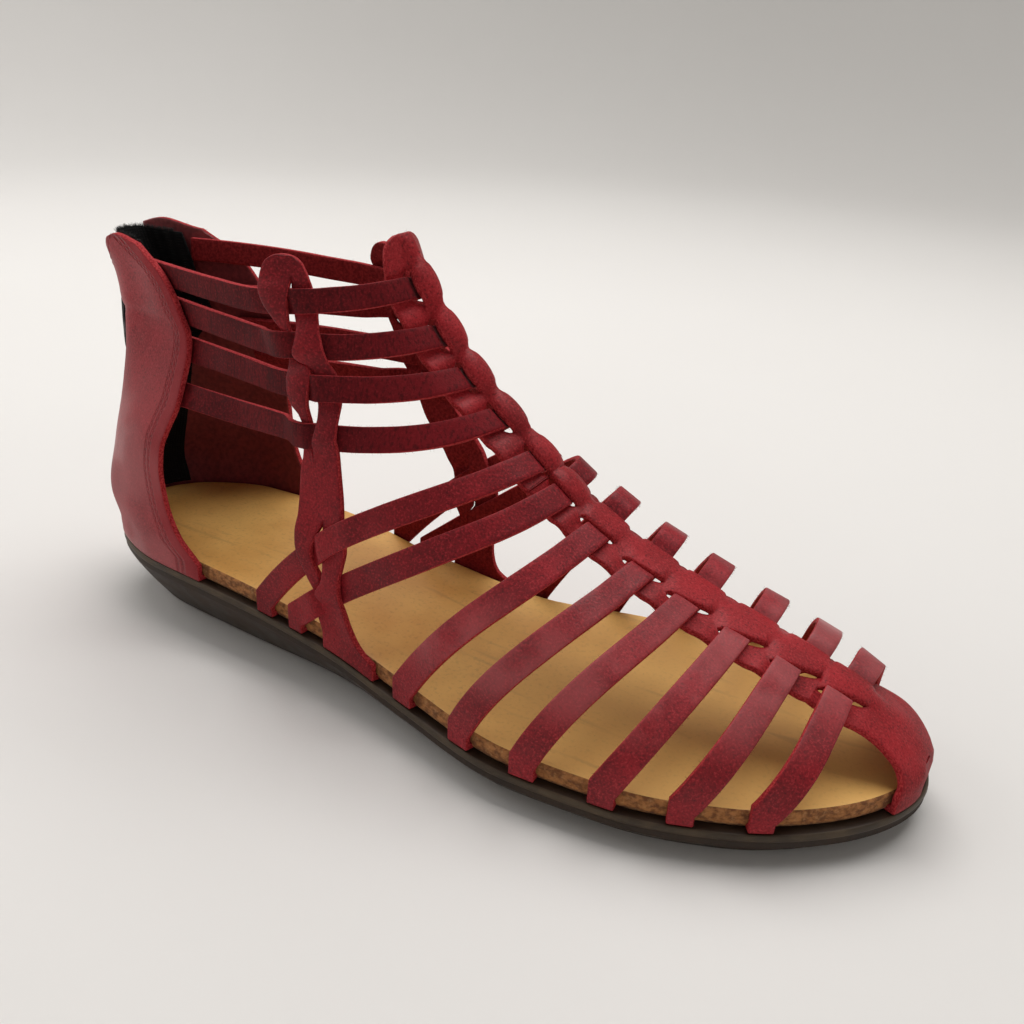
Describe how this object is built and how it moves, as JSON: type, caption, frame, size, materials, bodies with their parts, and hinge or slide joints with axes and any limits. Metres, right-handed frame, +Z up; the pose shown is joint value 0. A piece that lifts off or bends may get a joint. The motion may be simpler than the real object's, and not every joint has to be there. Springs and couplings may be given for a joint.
{
  "type": "strappy sandal",
  "caption": "Flat sandal for the right foot: woven leather straps on a toe-to-instep spine, closed heel with a back zip, tan insole and low rubber wedge sole.",
  "frame": {"origin": "on the floor under the middle of the shoe's box", "axes": "+X from heel to toe, +Y to the inner (medial) side of the foot, +Z up"},
  "size_m": [0.2573, 0.0923, 0.1241],
  "materials": {
    "red_leather": "waxed nubuck, fine nap, satin where it bends",
    "tan_leather": "smooth, lightly mottled",
    "brown_rubber": "semi-matte",
    "black_tape": "woven, matte",
    "dark_metal": "dark, satin"
  },
  "bodies": {
    "shoe": {"outsole": "brown_rubber", "insole": "tan_leather", "upper": "red_leather", "counter_lateral": "red_leather", "counter_medial": "red_leather", "zip_tape": "black_tape", "zip_chain": "dark_metal", "zip_slider": "dark_metal"},
    "pull": {"zip_pull": "dark_metal"}
  },
  "joints": [
    {"name": "pull_swing", "type": "hinge", "parent": "shoe", "child": "pull", "pos_m": [-0.12597, -0.0004, 0.09559], "axis": [0, 1, 0], "range_deg": [0, 150]}
  ]
}
